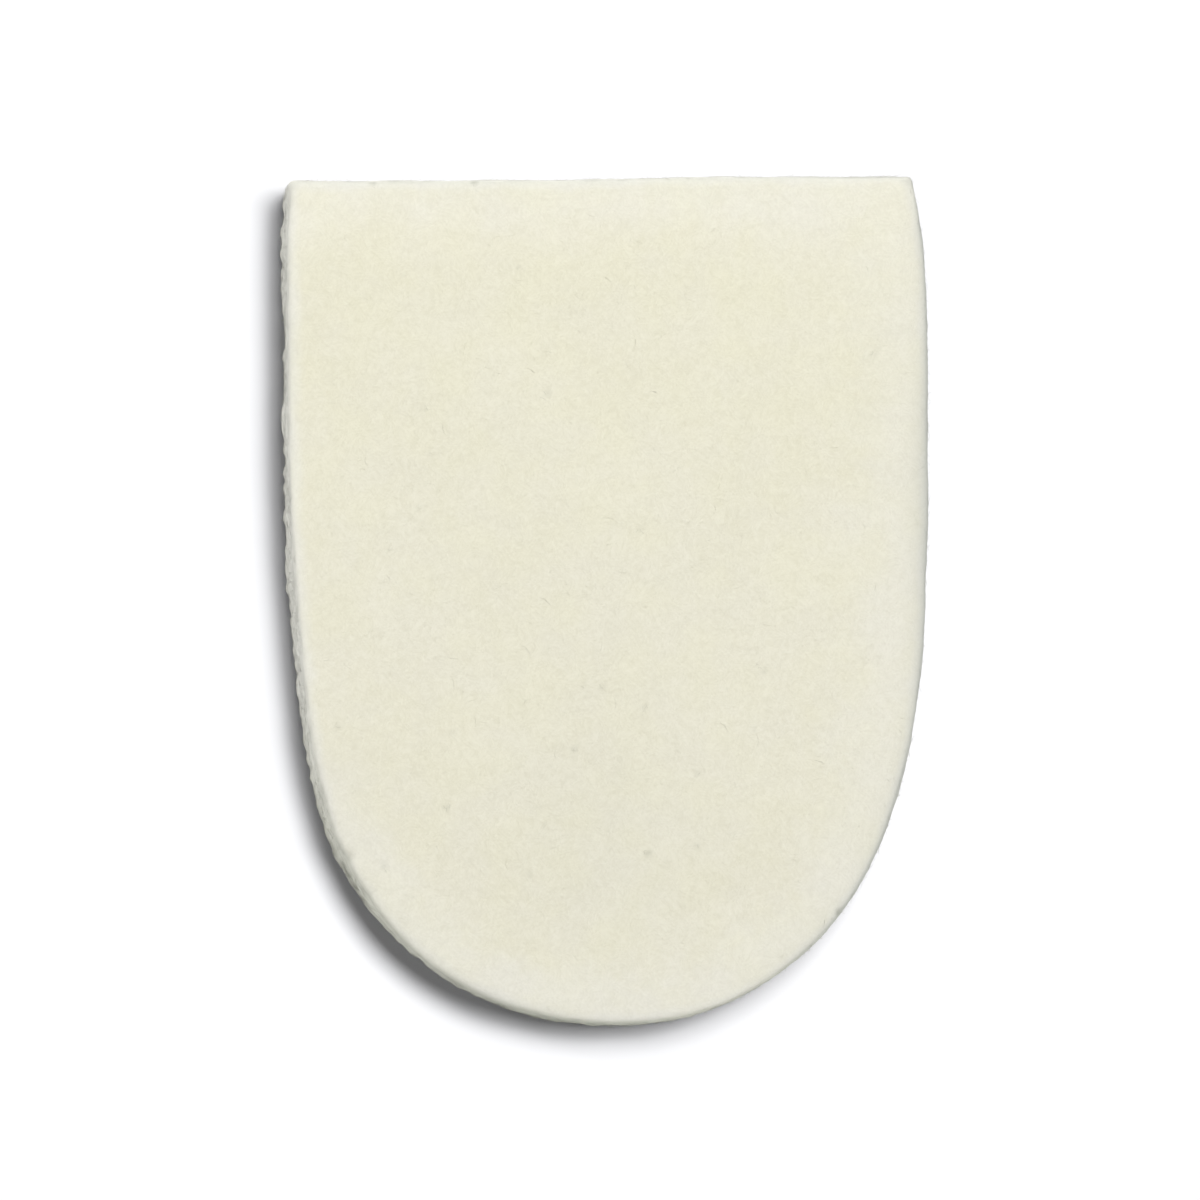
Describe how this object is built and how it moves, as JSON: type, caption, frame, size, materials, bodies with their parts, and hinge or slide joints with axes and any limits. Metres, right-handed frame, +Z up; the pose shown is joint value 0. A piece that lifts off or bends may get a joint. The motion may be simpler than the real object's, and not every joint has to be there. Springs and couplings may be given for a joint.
{
  "type": "felt heel pad",
  "caption": "Flat pad of thick pressed felt with a straight front edge and a round back end, laid under the heel to cushion it.",
  "frame": {"origin": "middle of the flat underside", "axes": "+Y towards the straight front edge, +Z up through the thickness, +X to the right as seen from above"},
  "size_m": [0.0637, 0.0836, 0.0063],
  "materials": {
    "felt": "matte cream pressed felt with a fine nap"
  },
  "bodies": {
    "root": {"felt_pad": "felt"}
  },
  "joints": []
}
